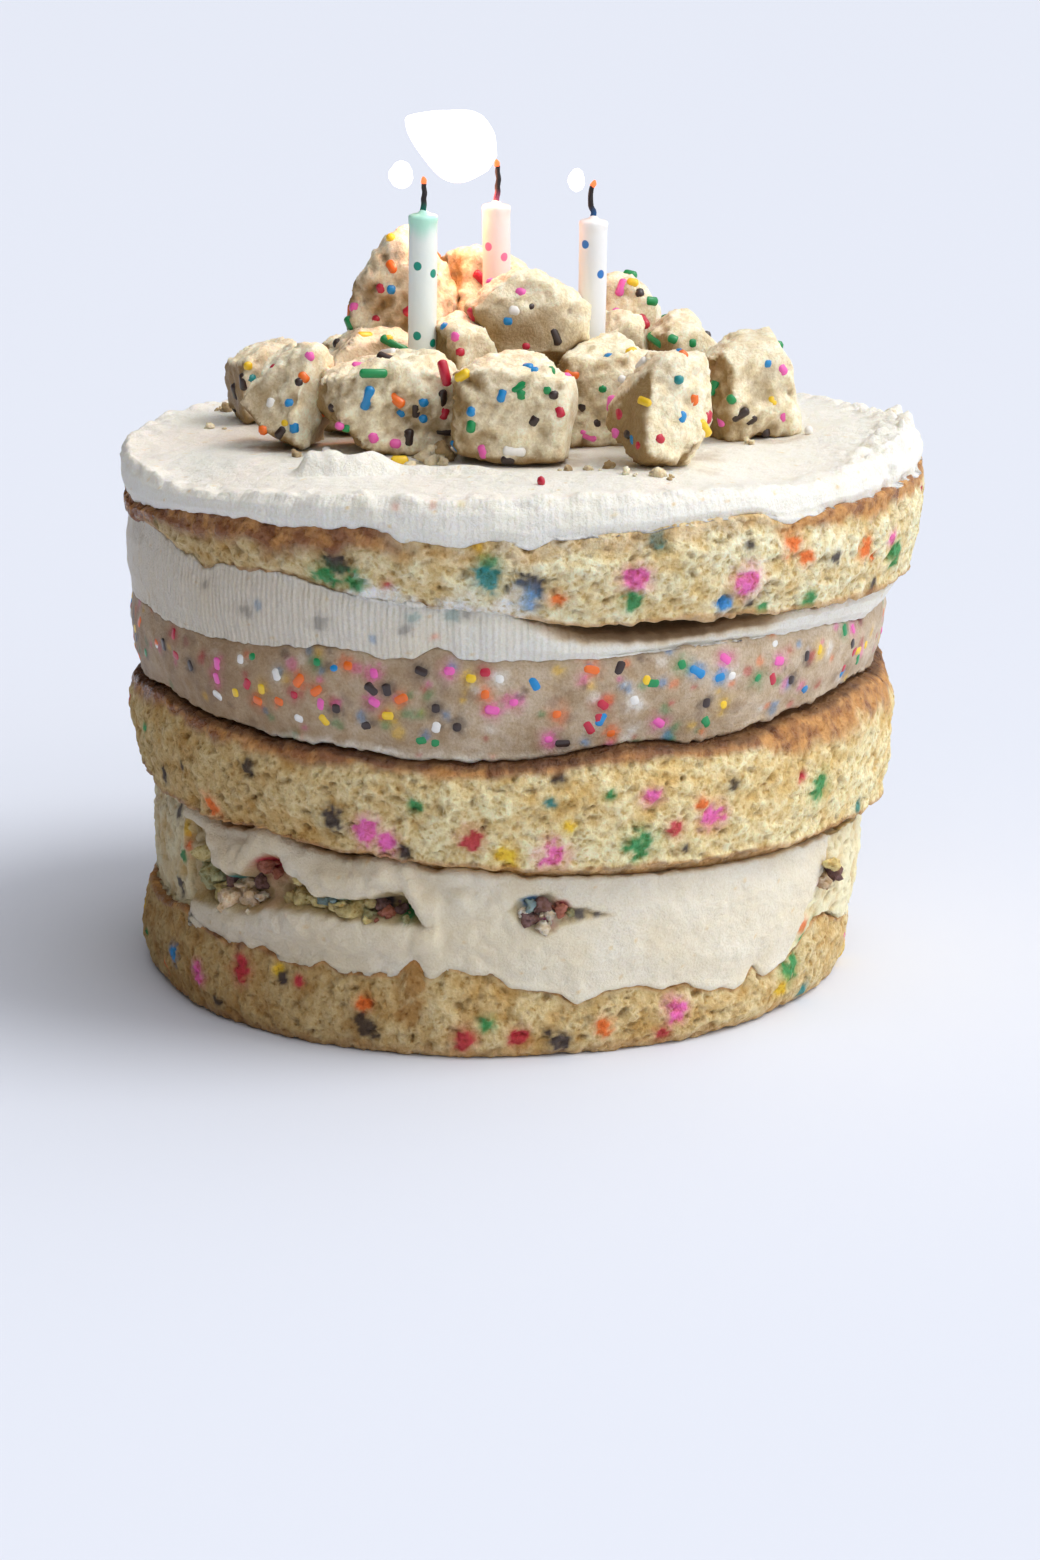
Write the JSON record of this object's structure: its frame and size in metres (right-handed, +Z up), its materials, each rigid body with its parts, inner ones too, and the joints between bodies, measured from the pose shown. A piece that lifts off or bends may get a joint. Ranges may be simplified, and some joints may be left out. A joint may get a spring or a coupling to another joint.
{
  "type": "birthday cake with candles",
  "caption": "Round layer cake with bare sides: speckled sponge, buttercream and cookie dough, with a heap of dough chunks and burning birthday candles on top.",
  "frame": {"origin": "middle of the flat base of the bottom sponge", "axes": "+Z up, the front of the cake faces -Y"},
  "size_m": [0.161, 0.1606, 0.1614],
  "materials": {
    "sponge": "open pale vanilla crumb with blotches of colour",
    "buttercream": "satin, scraped",
    "dough": "soft, matte",
    "wax_mint": "satin wax, mint with green dots",
    "wax_pink": "satin wax, pink with dots",
    "wax_blue": "satin wax, white with blue dots",
    "wick": "charred thread"
  },
  "bodies": {
    "root": {"sponge_bottom": "sponge", "filling_lower": "buttercream", "sponge_middle": "sponge", "dough_layer": "dough", "filling_upper": "buttercream", "sponge_top": "sponge", "topping": "buttercream", "dough_chunk_01": "dough", "dough_chunk_02": "dough", "dough_chunk_03": "dough", "dough_chunk_04": "dough", "dough_chunk_05": "dough", "dough_chunk_06": "dough", "dough_chunk_07": "dough", "dough_chunk_08": "dough", "dough_chunk_09": "dough", "dough_chunk_10": "dough", "dough_chunk_11": "dough", "dough_chunk_12": "dough", "dough_chunk_13": "dough", "dough_chunk_14": "dough", "dough_chunk_15": "dough", "dough_chunk_16": "dough", "dough_chunk_17": "dough", "dough_chunk_18": "dough", "dough_chunk_19": "dough", "dough_chunk_20": "dough", "dough_chunk_21": "dough", "dough_chunk_22": "dough", "candle_left": "wax_mint", "wick_left": "wick", "candle_middle": "wax_pink", "wick_middle": "wick", "candle_right": "wax_blue", "wick_right": "wick"}
  },
  "joints": []
}
